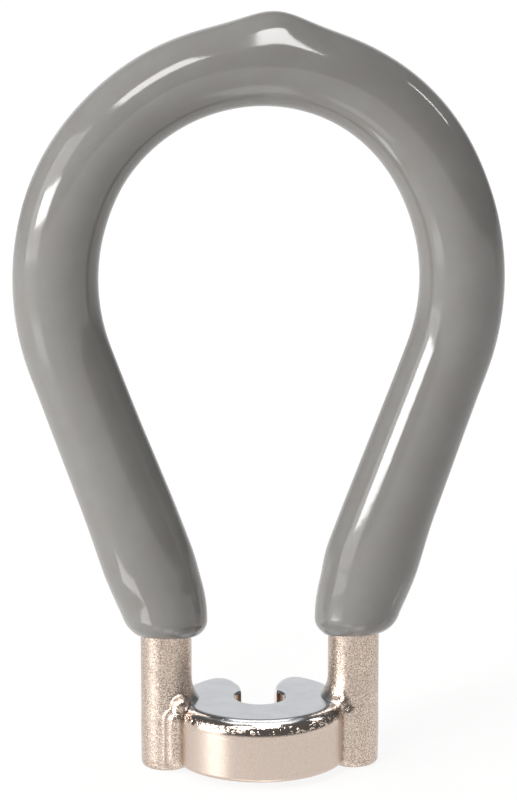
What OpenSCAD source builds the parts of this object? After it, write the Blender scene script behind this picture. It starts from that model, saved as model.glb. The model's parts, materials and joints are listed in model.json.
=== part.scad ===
// Spoke wrench: a steel rod bent to a teardrop loop, with a slotted round head brazed between its legs
// and a vinyl sleeve dipped over the loop. The loop lies in the XZ plane, the legs stand along Z on the
// plane z = 0, and the jaw slot of the head opens towards +Y.

/* [Rod] */
// Diameter of the steel rod
rod_d = 4.76; // [4.2:0.02:5.4]
// Distance between the axes of the two legs
leg_spacing = 17.5; // [16.6:0.1:19]
// Length of each leg that is left bare below the sleeve
bare_leg = 12.4; // [11:0.1:18]
// Radius of the outward bend above each leg, on the rod's axis
bend_r = 8; // [6:0.5:14]
// Lean of the straight limbs away from upright, in degrees
limb_lean = 20; // [16:0.5:24]
// Rounding of the rod's two cut ends
rod_end_r = 0.5; // [0.2:0.1:1]

/* [Loop] */
// Widest part of the loop, between the rod's axes
loop_w = 37; // [34:0.5:42]
// Radius of the flatter arcs at the sides of the loop, on the rod's axis
side_r = 21.6; // [20:0.1:24]
// Angle above level at which the side arcs pass into the tighter crown arc
crown_start = 27; // [20:1:40]

/* [Sleeve] */
// Diameter of the sleeve round the crown and the sides
sleeve_d = 7.8; // [6.6:0.1:9]
// Diameter of the sleeve at the foot of each limb, where the dip ran thicker
sleeve_foot_d = 8.4; // [6.8:0.1:9.4]
// Length of the straight cuff at each end of the sleeve, below the bend
cuff_h = 1.7; // [1:0.1:4]
// Rounding of the sleeve's two ends
cuff_r = 1.5; // [0.5:0.1:1.8]

/* [Drip] */
// Height of the drip that set on the crown, above the sleeve
drip_h = 0.95; // [0.4:0.05:1.6]
// Radius of the drip's round tip
drip_tip_r = 2.8; // [2.2:0.1:3.4]
// Radius at which the drip runs out into the sleeve
drip_tail_r = 2.4; // [1.8:0.1:3]
// Distance that the drip runs out along the crown, to each side of its tip
drip_run = 4.4; // [3:0.1:6]
// Depth to which the drip's tails sink into the sleeve at their ends
drip_sink = 0.2; // [0.1:0.05:0.4]
// Distance of the drip's tip from the middle of the crown, along the sleeve
drip_shift = 1.2; // [0:0.1:3]

/* [Head] */
// Diameter of the round head
head_d = 16.3; // [15:0.1:17.4]
// Thickness of the head
head_h = 5.8; // [4:0.1:8]
// Height of the head's underside above the rod's ends
head_z = 0.7; // [0:0.1:2]
// Radius of the rolled upper rim
rim_r = 1.25; // [0.4:0.05:1.6]
// Radius of the lower rim
foot_rim_r = 0.4; // [0.2:0.1:0.8]

/* [Jaw] */
// Width of the slot, between the jaw faces that hold a nipple's flats
slot_w = 3.3; // [3.2:0.05:4]
// Diameter of the round relief at the root of the slot
relief_d = 4.7; // [4.3:0.1:5.6]
// Rounding of the two lips at the mouth, seen from above
lip_r = 1.6; // [0.4:0.1:2.2]
// Chamfer round the upper edge of the relief
relief_chamfer = 0.3; // [0.1:0.05:0.6]

/* [Braze] */
// Thickness of the braze film between a leg and its saddle in the head
film = 0.1; // [0.05:0.01:0.2]
// Radius of the beads in the valleys beside the left leg
left_bead_r = 1.05; // [0.5:0.05:1.3]
// Radius of the beads in the valleys beside the right leg
right_bead_r = 0.7; // [0.5:0.05:1.3]
// Height of the beads' lower ends above the rod's ends
bead_z = 0.3; // [0:0.05:1]
// Reach of the fillet from a leg over the top of the head
fillet_w = 0.75; // [0.4:0.05:1.1]
// Height to which the fillet climbs a leg above the head
fillet_h = 2.1; // [1.2:0.1:3]

/* [Hidden] */
$fn = 96;

// Amount by which a cutting shape runs past what it cuts
cut_margin = 1;
// Length by which the limbs run into the legs and the crown, and how much thinner they are there
lap = 0.1;
hair = 0.02;

// Angle, in degrees, of an arc of a given length and radius
function turn_of(length, radius) = length / radius * 180 / PI;

rod_r = rod_d / 2;
leg_x = leg_spacing / 2;
leg_h = bare_leg + cuff_h;

// Side arc's centre, found from the loop's width, and the crown radius that meets it smoothly
side_x = loop_w / 2 - side_r;
crown_r = side_r + side_x / cos(crown_start);

// The limb runs from the end of the bend to the start of the side arc
bend_end_x = leg_x + bend_r * (1 - cos(limb_lean));
bend_end_z = leg_h + bend_r * sin(limb_lean);
limb_len = (side_x + side_r * cos(limb_lean) - bend_end_x) / sin(limb_lean);
side_z = bend_end_z + limb_len * cos(limb_lean) + side_r * sin(limb_lean);
crown_z = side_z + (side_r - crown_r) * sin(crown_start);

sleeve_r = sleeve_d / 2;
sleeve_foot_r = sleeve_foot_d / 2;
// Rounding that the cuff's length and wall leave room for
cuff_round = min(cuff_r, cuff_h - 2 * lap, sleeve_foot_r - rod_r);
// Outer radius of the sleeve round the crown, on which the drip sits
crown_out_r = crown_r + sleeve_r;
// Depths of the drip's tip and tail below the sleeve's upper side at the tip
drip_tip_depth = drip_tip_r - drip_h;
drip_tail_depth = drip_tail_r + drip_sink + crown_out_r * (1 - cos(turn_of(drip_run, crown_out_r)));

head_r = head_d / 2;
head_top = head_z + head_h;
saddle_r = rod_r + film;
slot_half = slot_w / 2;
lip_x = slot_half + lip_r;
lip_y = sqrt(pow(head_r - lip_r, 2) - pow(lip_x, 2));
lip_reach = (head_r + lip_r) / (head_r - lip_r);

// Point where the head's wall meets a leg, and the direction that halves the valley there
valley_x = (head_r * head_r - rod_r * rod_r + leg_x * leg_x) / (2 * leg_x);
valley_y = sqrt(head_r * head_r - valley_x * valley_x);
valley_dir = [valley_x / head_r + (valley_x - leg_x) / rod_r, valley_y / head_r + valley_y / rod_r];
valley_out = valley_dir / norm(valley_dir);
// Share of a bead's radius by which its centre stands out of the valley
bead_proud = 0.25;
// Circle that hollows the braze fillet: it is tangent to the leg and passes through the fillet's toe
fillet_r = (fillet_w * fillet_w + fillet_h * fillet_h) / (2 * fillet_w);

rod_color = [0.80, 0.74, 0.68];
head_color = [0.74, 0.70, 0.66];
braze_color = [0.86, 0.82, 0.76];
vinyl_color = [0.55, 0.55, 0.53];

// Stretch of round bar bent about the origin in the XZ plane, between two angles from +X towards +Z
module bent_bar(bend, from, to, r) {
    rotate([90, 0, 0])
        rotate_extrude(angle = to - from, start = from)
            translate([bend, 0])
                circle(r);
}

// Right half of the loop below the crown, drawn along the limb: bend, limb and side arc, each end of which
// runs a little way into the leg or the crown that it joins
module right_limb(foot_r, top_r) {
    translate([bend_end_x, 0, bend_end_z])
        rotate([0, limb_lean, 0]) {
            translate([bend_r, 0, 0])
                bent_bar(bend_r, 180, 180 + limb_lean + turn_of(lap, bend_r), foot_r);
            cylinder(r1 = foot_r, r2 = top_r, h = limb_len);
            translate([-side_r, 0, limb_len])
                bent_bar(side_r, 0, limb_lean + crown_start + turn_of(lap, side_r), top_r);
        }
}

// The whole loop above the legs, with the bar's radius at the limbs' feet and round the crown
module loop_bar(foot_r, crown_bar_r) {
    right_limb(foot_r - hair, crown_bar_r - hair);
    mirror([1, 0, 0])
        right_limb(foot_r - hair, crown_bar_r - hair);
    translate([0, 0, crown_z])
        bent_bar(crown_r, crown_start, 180 - crown_start, crown_bar_r);
}

// Half section of a round bar that stands on z = 0 with its lower edge rounded
module round_end_section(r, h, edge_r) {
    difference() {
        square([r, h]);
        difference() {
            translate([r - edge_r, 0])
                square(edge_r);
            translate([r - edge_r, edge_r])
                circle(edge_r);
        }
    }
}

module on_both_legs() {
    for (side = [-1, 1])
        translate([side * leg_x, 0, 0])
            children();
}

// The rod as one solid, from end to end
module rod() {
    loop_bar(rod_r, rod_r);
    on_both_legs()
        rotate_extrude()
            round_end_section(rod_r, leg_h, rod_end_r);
}

module handle_wire() {
    color(rod_color)
        rod();
}

// Half section of the head, with the rolled rim above and a small radius below
module head_section() {
    difference() {
        round_end_section(head_r, head_h, foot_rim_r);
        difference() {
            translate([head_r - rim_r, head_h - rim_r])
                square(rim_r);
            translate([head_r - rim_r, head_h - rim_r])
                circle(rim_r);
        }
    }
}

// Keyhole of the jaw seen from above: round relief, parallel slot and the rounding of the lips
module jaw_outline() {
    circle(relief_d / 2);
    translate([-slot_half, 0])
        square([slot_w, head_r + cut_margin]);
    difference() {
        polygon([
            [-lip_x, lip_y],
            [lip_x, lip_y],
            [lip_x * lip_reach, lip_y * lip_reach],
            [-lip_x * lip_reach, lip_y * lip_reach]
        ]);
        for (side = [-1, 1])
            translate([side * lip_x, lip_y])
                circle(lip_r);
    }
}

module head_body() {
    difference() {
        translate([0, 0, head_z])
            rotate_extrude()
                head_section();
        translate([0, 0, head_z - cut_margin])
            linear_extrude(head_h + 2 * cut_margin)
                jaw_outline();
        translate([0, 0, head_top - relief_chamfer])
            cylinder(
                r1 = relief_d / 2,
                r2 = relief_d / 2 + relief_chamfer + cut_margin,
                h = relief_chamfer + cut_margin
            );
        on_both_legs()
            translate([0, 0, head_z - cut_margin])
                cylinder(r = saddle_r, h = head_h + 2 * cut_margin);
    }
}

module wrench_head() {
    color(head_color)
        head_body();
}

// Bead with round ends that fills the valley in front of or behind the right leg
module bead(r, side) {
    top = head_top - rim_r;
    translate([
        valley_x + valley_out[0] * r * bead_proud,
        side * (valley_y + valley_out[1] * r * bead_proud),
        bead_z + r
    ]) {
        cylinder(r = r, h = top - bead_z - r);
        sphere(r);
        translate([0, 0, top - bead_z - r])
            sphere(r);
    }
}

// Fillet round the right leg, hollow towards the head's top, and the film in the saddle under it
module fillet_and_film() {
    intersection() {
        translate([leg_x, 0, 0])
            rotate_extrude() {
                translate([0, head_z])
                    square([saddle_r, head_h]);
                translate([0, head_top - rim_r])
                    square([rod_r + fillet_w, rim_r]);
                difference() {
                    translate([0, head_top])
                        square([rod_r + fillet_w, fillet_h]);
                    translate([rod_r + fillet_r, head_top + fillet_h])
                        circle(fillet_r);
                }
            }
        cylinder(r = head_r, h = head_top + fillet_h);
    }
}

// Braze at the right leg: what the leg and the head leave free of the beads, the fillet and the film
module right_joint(bead_r) {
    difference() {
        union() {
            fillet_and_film();
            for (side = [-1, 1])
                bead(bead_r, side);
        }
        head_body();
        translate([leg_x, 0, 0])
            cylinder(r = rod_r, h = leg_h);
    }
}

module left_braze() {
    color(braze_color)
        mirror([1, 0, 0])
            right_joint(left_bead_r);
}

module right_braze() {
    color(braze_color)
        right_joint(right_bead_r);
}

// Drip on the crown: a round tip that runs out along the sleeve to both sides
module drip() {
    tail_drop = drip_tail_depth - drip_tip_depth;
    slope = atan2(tail_drop, drip_run);
    translate([0, 0, crown_z])
        rotate([0, turn_of(drip_shift, crown_out_r), 0])
            translate([0, 0, crown_out_r - drip_tip_depth]) {
                sphere(drip_tip_r);
                for (turn = [90, -90])
                    rotate([0, turn + sign(turn) * slope, 0])
                        cylinder(r1 = drip_tip_r, r2 = drip_tail_r, h = norm([drip_run, tail_drop]));
            }
}

module vinyl_sleeve() {
    color(vinyl_color)
        difference() {
            union() {
                loop_bar(sleeve_foot_r, sleeve_r);
                on_both_legs()
                    translate([0, 0, bare_leg])
                        rotate_extrude()
                            round_end_section(sleeve_foot_r, cuff_h, cuff_round);
                drip();
            }
            rod();
        }
}

handle_wire();
wrench_head();
left_braze();
right_braze();
vinyl_sleeve();
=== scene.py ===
"""Spoke wrench: the rod, the slotted head, the braze and the vinyl sleeve, lit as in a product portrait.

Every piece is drawn in the part's own frame, in metres: the legs stand on z = 0, the loop lies in the
XZ plane and the jaw slot opens towards +Y.
"""
import json
import logging
import math
from dataclasses import dataclass
from enum import Enum
from typing import ClassVar

import bmesh
import bpy
from mathutils import Matrix, Vector


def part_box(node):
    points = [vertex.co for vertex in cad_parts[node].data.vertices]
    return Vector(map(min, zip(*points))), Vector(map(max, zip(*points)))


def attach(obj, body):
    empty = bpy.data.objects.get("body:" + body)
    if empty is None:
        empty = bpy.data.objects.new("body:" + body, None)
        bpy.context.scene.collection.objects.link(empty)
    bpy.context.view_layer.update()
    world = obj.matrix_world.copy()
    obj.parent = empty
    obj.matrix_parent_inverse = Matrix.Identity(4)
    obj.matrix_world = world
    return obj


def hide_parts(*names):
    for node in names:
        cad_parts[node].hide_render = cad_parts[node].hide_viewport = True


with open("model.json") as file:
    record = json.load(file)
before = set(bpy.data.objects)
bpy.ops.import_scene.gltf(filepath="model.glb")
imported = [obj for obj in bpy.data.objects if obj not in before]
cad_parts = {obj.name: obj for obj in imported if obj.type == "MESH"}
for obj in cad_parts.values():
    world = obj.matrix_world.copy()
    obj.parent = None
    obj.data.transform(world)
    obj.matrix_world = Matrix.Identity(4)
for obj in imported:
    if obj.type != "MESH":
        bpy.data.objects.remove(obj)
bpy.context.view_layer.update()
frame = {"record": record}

Mesh = bmesh.types.BMesh
Vert = bmesh.types.BMVert
Edge = bmesh.types.BMEdge
Piece = bpy.types.Object
Socket = bpy.types.NodeSocket
Colour = tuple[float, float, float]

LOG = logging.getLogger("spoke_wrench")
BODY = "root"
MM = 0.001
UP = Vector((0.0, 0.0, 1.0))
WHITE = (1.0, 1.0, 1.0)
BLACK = (0.0, 0.0, 0.0)
# Distance within which vertices count as one
WELD = 0.002 * MM
# Values of a noise between which a pattern of patches changes
PATCH_RANGE = (0.3, 0.7)
PICTURE_WIDTH_PX = 517
PICTURE_HEIGHT_PX = 800


class Slot(Enum):
    """Material slots of the record."""

    ROD = "plated_rod"
    HEAD = "plated_head"
    BRAZE = "plated_braze"
    VINYL = "grey_vinyl"


class Side(Enum):
    """The two legs, by the sign of their X."""

    LEFT = -1
    RIGHT = 1


def eased(share: float) -> float:
    """Smooth step of a share between 0 and 1."""
    share = min(max(share, 0.0), 1.0)
    return share * share * (3 - 2 * share)


def along_points(points: tuple[tuple[float, float], ...], at: float) -> float:
    """Reads a value off a line of control points, smoothly between them and level beyond them.

    Args:
        points: pairs of place and value, in order of place
        at: the place to read

    Returns:
        The value there.
    """
    for (x0, y0), (x1, y1) in zip(points, points[1:]):
        if at < x1:
            return y0 + (y1 - y0) * eased((at - x0) / (x1 - x0))
    return points[-1][1]


@dataclass(frozen=True)
class Fade:
    """A smooth change from 0 to 1 with height.

    Attributes:
        start: height at which the change starts
        length: height that the change takes
    """

    start: float
    length: float

    def at(self, height: float) -> float:
        """Share of the change at a height."""
        return eased((height - self.start) / self.length)


@dataclass(frozen=True)
class Stretch:
    """One straight or bend of the loop's line.

    Attributes:
        length: length along the rod's axis
        pivot: centre of the bend, or None for a straight
        angle: turn of the bend, positive from +Z towards +X
    """

    length: float
    pivot: Vector | None = None
    angle: float = 0.0


@dataclass(frozen=True)
class Loop:
    """Centre line of the bent rod, from a leg's foot to the top of the crown, on the right-hand side.

    Attributes:
        leg_x: distance of a leg's axis from the middle
        rod_r: radius of the rod
        half_w: half the loop's width between the rod's axes
        sleeve_foot: height of the sleeve's lower end
        cuff_h: length of the straight cuff of the sleeve below the bend
        bend_r: radius of the outward bend above the leg
        lean: lean of the limb from upright
        side_r: radius of the arc at the side
        crown_start: angle above level at which the crown arc starts
    """

    leg_x: float
    rod_r: float
    half_w: float
    sleeve_foot: float
    cuff_h: float = 1.7 * MM
    bend_r: float = 8.0 * MM
    lean: float = math.radians(20.0)
    side_r: float = 21.6 * MM
    crown_start: float = math.radians(27.0)

    @classmethod
    def from_frame(cls) -> "Loop":
        """Reads the rod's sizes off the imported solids.

        Returns:
            The rod's line.
        """
        rod_lo, rod_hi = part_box("handle_wire")
        sleeve_lo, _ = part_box("vinyl_sleeve")
        mounts = {mount["name"]: mount for mount in frame["record"]["mounts"]}
        rod_r = (rod_hi.y - rod_lo.y) / 2
        return cls(
            leg_x=mounts["right_leg_end"]["pos_m"][0],
            rod_r=rod_r,
            half_w=(rod_hi.x - rod_lo.x) / 2 - rod_r,
            sleeve_foot=sleeve_lo.z,
        )

    @property
    def leg_top(self) -> float:
        """Height at which the straight leg ends."""
        return self.sleeve_foot + self.cuff_h

    @property
    def side_x(self) -> float:
        """X of the side arc's centre."""
        return self.half_w - self.side_r

    @property
    def crown_r(self) -> float:
        """Radius of the crown arc that meets the side arc smoothly."""
        return self.side_r + self.side_x / math.cos(self.crown_start)

    @property
    def limb_len(self) -> float:
        """Length of the straight limb."""
        bend_end_x = self.leg_x + self.bend_r * (1 - math.cos(self.lean))
        return (self.side_x + self.side_r * math.cos(self.lean) - bend_end_x) / math.sin(self.lean)

    @property
    def side_z(self) -> float:
        """Z of the side arc's centre."""
        limb_foot = self.leg_top + self.bend_r * math.sin(self.lean)
        return limb_foot + self.limb_len * math.cos(self.lean) + self.side_r * math.sin(self.lean)

    @property
    def crown_z(self) -> float:
        """Z of the crown arc's centre."""
        return self.side_z + (self.side_r - self.crown_r) * math.sin(self.crown_start)

    def stretches(self) -> list[Stretch]:
        """Splits the line above a leg into its straights and bends, up to the top of the crown.

        Returns:
            The bend, the limb, the side arc and half of the crown, in that order.
        """
        side_turn = self.lean + self.crown_start
        crown_turn = math.pi / 2 - self.crown_start
        bend_pivot = Vector((self.leg_x + self.bend_r, 0, self.leg_top))
        return [
            Stretch(self.bend_r * self.lean, bend_pivot, self.lean),
            Stretch(self.limb_len),
            Stretch(self.side_r * side_turn, Vector((self.side_x, 0, self.side_z)), -side_turn),
            Stretch(self.crown_r * crown_turn, Vector((0, 0, self.crown_z)), -crown_turn),
        ]


class Pen:
    """Draws a chain of edges from one vertex, by straight moves and turns."""

    def __init__(self, mesh: Mesh, start: Vector) -> None:
        """Starts the chain with one vertex.

        Args:
            mesh: the mesh to draw in
            start: place of the first vertex
        """
        self.mesh = mesh
        self.verts = [mesh.verts.new(start)]

    def move(self, by: Vector, steps: int = 1) -> None:
        """Draws a straight run.

        Args:
            by: length and direction of one edge
            steps: number of edges
        """
        for _ in range(steps):
            end = bmesh.ops.extrude_vert_indiv(self.mesh, verts=self.verts[-1:])["verts"][0]
            bmesh.ops.translate(self.mesh, vec=by, verts=[end])
            self.verts.append(end)

    def turn(self, pivot: Vector, axis: Vector, angle: float, steps: int) -> None:
        """Draws a round run.

        Args:
            pivot: centre of the turn
            axis: axis of the turn
            angle: turn of one edge
            steps: number of edges
        """
        for _ in range(steps):
            made = bmesh.ops.spin(
                self.mesh, geom=self.verts[-1:], cent=pivot, axis=axis, angle=angle, steps=1
            )
            self.verts += [g for g in made["geom_last"] if isinstance(g, Vert)]

    def close(self) -> list[Edge]:
        """Joins the end of the chain to its start.

        Returns:
            The closed chain's edges in order.
        """
        bmesh.ops.contextual_create(self.mesh, geom=[self.verts[-1], self.verts[0]])
        return [self.mesh.edges.get(pair) for pair in zip(self.verts, self.verts[1:] + self.verts[:1])]


class Sweep:
    """A round bar drawn ring by ring along straights and bends in the XZ plane."""

    def __init__(self, start: Vector, radius: float, sides: int, capped: bool, lean: float = 0.0) -> None:
        """Starts the bar with one ring.

        Args:
            start: centre of the first ring
            radius: radius of the first ring
            sides: number of vertices in a ring
            capped: whether a flat face closes the first ring
            lean: turn of the first ring from level, positive from +Z towards +X
        """
        self.mesh = bmesh.new()
        self.centre = start.copy()
        self.heading = Matrix.Rotation(lean, 3, "Y") @ UP
        self.radius = radius
        place = Matrix.Translation(start) @ Matrix.Rotation(lean, 4, "Y")
        made = bmesh.ops.create_circle(
            self.mesh, cap_ends=capped, radius=radius, segments=sides, matrix=place
        )
        self.verts = made["verts"]
        self.edges = self.mesh.edges[:]

    def take(self, geom: list) -> None:
        """Makes the newest ring the current one."""
        self.verts = [g for g in geom if isinstance(g, Vert)]
        self.edges = [g for g in geom if isinstance(g, Edge)]

    def resize(self, radius: float) -> None:
        """Scales the current ring to a radius.

        Args:
            radius: the new radius
        """
        share = radius / self.radius
        about = Matrix.Translation(-self.centre)
        bmesh.ops.scale(self.mesh, vec=(share, share, share), space=about, verts=self.verts)
        self.radius = radius

    def step(self, rise: float, radius: float) -> None:
        """Adds one ring ahead of the current one.

        Args:
            rise: distance along the heading, negative to go back
            radius: radius of the new ring
        """
        made = bmesh.ops.extrude_edge_only(self.mesh, edges=self.edges)
        self.take(made["geom"])
        move = self.heading * rise
        bmesh.ops.translate(self.mesh, vec=move, verts=self.verts)
        self.centre += move
        self.resize(radius)

    def turn(self, pivot: Vector, angle: float, radius: float) -> None:
        """Adds one ring by turning the current one about an axis along Y.

        Args:
            pivot: a point on the axis
            angle: turn in radians, positive from +Z towards +X
            radius: radius of the new ring
        """
        made = bmesh.ops.spin(
            self.mesh, geom=self.verts + self.edges, cent=pivot, axis=(0, 1, 0), angle=angle, steps=1
        )
        self.take(made["geom_last"])
        spin = Matrix.Rotation(angle, 3, "Y")
        self.centre = pivot + spin @ (self.centre - pivot)
        self.heading = spin @ self.heading
        self.resize(radius)

    def follow(self, part: Stretch, steps: int, radius: float) -> None:
        """Adds one of the rings along a stretch of the loop.

        Args:
            part: the stretch
            steps: number of rings that the whole stretch gets, negative to go back
            radius: radius of the new ring
        """
        if part.pivot is None:
            self.step(part.length / steps, radius)
        else:
            self.turn(part.pivot, part.angle / steps, radius)

    def round_out(self, end_r: float, radius: float, steps: int) -> None:
        """Adds the rings of a rounded end, from its flat face out to the full radius.

        Args:
            end_r: radius of the rounding
            radius: full radius of the bar
            steps: number of rings
        """
        for i in range(steps):
            before, after = (k / steps * math.pi / 2 for k in (i, i + 1))
            rise = end_r * (math.cos(before) - math.cos(after))
            self.step(rise, radius - end_r * (1 - math.sin(after)))


def finish_mesh(mesh: Mesh, name: str) -> Piece:
    """Turns a bmesh into a smooth-shaded object at the origin.

    Args:
        mesh: the finished bmesh, which is freed
        name: name of the piece

    Returns:
        The new object, linked to the scene.
    """
    data = bpy.data.meshes.new(name)
    mesh.to_mesh(data)
    mesh.free()
    data.polygons.foreach_set("use_smooth", [True] * len(data.polygons))
    piece = bpy.data.objects.new(name, data)
    bpy.context.scene.collection.objects.link(piece)
    return piece


def mirror_right_half(mesh: Mesh) -> None:
    """Adds the left half of a shape drawn up to the middle plane, and closes the seam.

    Args:
        mesh: the right half
    """
    half = mesh.verts[:] + mesh.edges[:] + mesh.faces[:]
    bmesh.ops.mirror(mesh, geom=half, axis="X", merge_dist=WELD)
    bmesh.ops.remove_doubles(mesh, verts=mesh.verts, dist=WELD)
    bmesh.ops.recalc_face_normals(mesh, faces=mesh.faces)


def seat(piece: Piece, node: str, material: bpy.types.Material) -> None:
    """Gives a piece its finish and puts it in the place of a CAD node.

    Args:
        piece: the finished piece
        node: the CAD node that it stands for
        material: the finish
    """
    piece.data.materials.append(material)
    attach(piece, BODY)
    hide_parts(node)
    LOG.info("%s stands for %s with %d faces", piece.name, node, len(piece.data.polygons))


class Graph:
    """Adds nodes to a node tree and links them."""

    def __init__(self, tree: bpy.types.NodeTree) -> None:
        """Keeps the tree, emptied of its default nodes."""
        self.tree = tree
        self.tree.nodes.clear()

    def add(self, kind: str, **settings: object) -> bpy.types.Node:
        """Adds a node.

        Args:
            kind: Blender's name of the node type
            settings: properties of the node to set

        Returns:
            The new node.
        """
        node = self.tree.nodes.new(kind)
        for key, value in settings.items():
            setattr(node, key, value)
        return node

    def link(self, source: Socket, target: Socket) -> None:
        """Links an output to an input."""
        self.tree.links.new(source, target)

    def feed(self, value: Socket | float | tuple[float, ...], target: Socket) -> None:
        """Links an output to an input, or sets the input to a plain value.

        Args:
            value: the output or the plain value
            target: the input
        """
        if isinstance(value, Socket):
            self.link(value, target)
        else:
            target.default_value = value

    def noise(self, place: Socket, scale: Socket | float, detail: float) -> Socket:
        """Adds a noise texture.

        Args:
            place: coordinates that it reads
            scale: features per metre
            detail: number of finer octaves

        Returns:
            Its value output.
        """
        node = self.add("ShaderNodeTexNoise")
        for name, value in (("Vector", place), ("Scale", scale), ("Detail", detail)):
            self.feed(value, node.inputs[name])
        return node.outputs[0]

    def math(self, operation: str, a: Socket | float, b: Socket | float = 0.0) -> Socket:
        """Adds a math node on one or two sockets or numbers.

        Args:
            operation: Blender's name of the operation
            a: first socket or number
            b: second socket or number

        Returns:
            The result's socket.
        """
        node = self.add("ShaderNodeMath", operation=operation)
        for value, socket in zip((a, b), node.inputs):
            self.feed(value, socket)
        return node.outputs[0]

    def span(self, value: Socket, low: float, high: float, first: float = 0.0, last: float = 1.0) -> Socket:
        """Maps a value smoothly from one range to another.

        Args:
            value: socket to map
            low: value that gives the first result
            high: value that gives the last result
            first: result at and below low
            last: result at and above high

        Returns:
            The mapped socket.
        """
        node = self.add("ShaderNodeMapRange", interpolation_type="SMOOTHSTEP")
        names = ("Value", "From Min", "From Max", "To Min", "To Max")
        for name, number in zip(names, (value, low, high, first, last)):
            self.feed(number, node.inputs[name])
        return node.outputs["Result"]

    def mix(self, share: Socket, a: Socket | Colour, b: Socket | Colour) -> Socket:
        """Mixes two colours.

        Args:
            share: socket with the share of the second colour
            a: first colour
            b: second colour

        Returns:
            The mixed colour's socket.
        """
        node = self.add("ShaderNodeMix", data_type="RGBA")
        self.link(share, node.inputs["Factor"])
        colour_inputs = [s for s in node.inputs if s.type == "RGBA"]
        for colour, socket in zip((a, b), colour_inputs):
            self.feed(colour if isinstance(colour, Socket) else (*colour, 1.0), socket)
        return [s for s in node.outputs if s.type == "RGBA"][0]

    def split(self, place: Socket) -> bpy.types.Node:
        """Adds a node that splits coordinates into X, Y and Z.

        Args:
            place: the coordinates

        Returns:
            The node.
        """
        node = self.add("ShaderNodeSeparateXYZ")
        self.link(place, node.inputs["Vector"])
        return node

    def off_axis(self, place: Socket) -> Socket:
        """Adds the distance of a place from the Z axis.

        Args:
            place: the coordinates

        Returns:
            The distance's socket.
        """
        parts = self.split(place)
        squares = (self.math("MULTIPLY", parts.outputs[k], parts.outputs[k]) for k in ("X", "Y"))
        return self.math("SQRT", self.math("ADD", *squares))

    def bump(self, height: Socket, depth: float) -> Socket:
        """Adds a bump node at full strength.

        Args:
            height: height of the surface in shares of the depth
            depth: the depth

        Returns:
            The normal's socket.
        """
        node = self.add("ShaderNodeBump")
        for name, value in (("Strength", 1.0), ("Distance", depth), ("Height", height)):
            self.feed(value, node.inputs[name])
        return node.outputs["Normal"]

    def shader(self, kind: str, colour: Colour, **numbers: float) -> Socket:
        """Adds a plain shader.

        Args:
            kind: Blender's name of the node type
            colour: its colour
            numbers: its other inputs, by name

        Returns:
            The shader's socket.
        """
        node = self.add(kind)
        for name, value in {"Color": (*colour, 1.0), **numbers}.items():
            node.inputs[name].default_value = value
        return node.outputs[0]

    def blend(self, share: Socket, a: Socket, b: Socket) -> Socket:
        """Mixes two shaders.

        Args:
            share: socket with the share of the second shader
            a: first shader
            b: second shader

        Returns:
            The mixed shader's socket.
        """
        node = self.add("ShaderNodeMixShader")
        for source, target in zip((share, a, b), node.inputs):
            self.link(source, target)
        return node.outputs[0]


class GrainGroup:
    """Shared effect: the fine pebbled grain of satin plating, as a height, a tone and a roughness mask.

    Attributes:
        NAME: name of the node group
        PEBBLE_DETAIL: finer octaves of the pebbles
        FINE_RATIO: how many times finer the second grain is than the pebbles
        FINE_SHARE: height of the second grain in shares of the pebbles'
        TONE_RANGE: values of the pebbles' noise between which the tone changes
        PATCHES: patches of polish per metre
        PATCH_DETAIL: finer octaves of those patches
    """

    NAME = "plating_grain"
    PEBBLE_DETAIL = 1.5
    FINE_RATIO = 2.6
    FINE_SHARE = 0.35
    TONE_RANGE = (0.35, 0.65)
    PATCHES = 420.0
    PATCH_DETAIL = 3.0

    @classmethod
    def tree(cls) -> bpy.types.NodeTree:
        """Builds the group when it is first asked for.

        Returns:
            The group's node tree.
        """
        made = bpy.data.node_groups.get(cls.NAME)
        if made:
            return made
        made = bpy.data.node_groups.new(cls.NAME, "ShaderNodeTree")
        face = made.interface
        face.new_socket("Vector", in_out="INPUT", socket_type="NodeSocketVector")
        face.new_socket("Pebbles", in_out="INPUT", socket_type="NodeSocketFloat")
        for name in ("Height", "Tone", "Polish"):
            face.new_socket(name, in_out="OUTPUT", socket_type="NodeSocketFloat")
        g = Graph(made)
        source = g.add("NodeGroupInput").outputs
        target = g.add("NodeGroupOutput").inputs
        pebbles = g.noise(source["Vector"], source["Pebbles"], cls.PEBBLE_DETAIL)
        fine_scale = g.math("MULTIPLY", source["Pebbles"], cls.FINE_RATIO)
        fine = g.noise(source["Vector"], fine_scale, 0.0)
        g.link(g.math("ADD", pebbles, g.math("MULTIPLY", fine, cls.FINE_SHARE)), target["Height"])
        g.link(g.span(pebbles, *cls.TONE_RANGE), target["Tone"])
        g.link(g.noise(source["Vector"], cls.PATCHES, cls.PATCH_DETAIL), target["Polish"])
        return made


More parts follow.
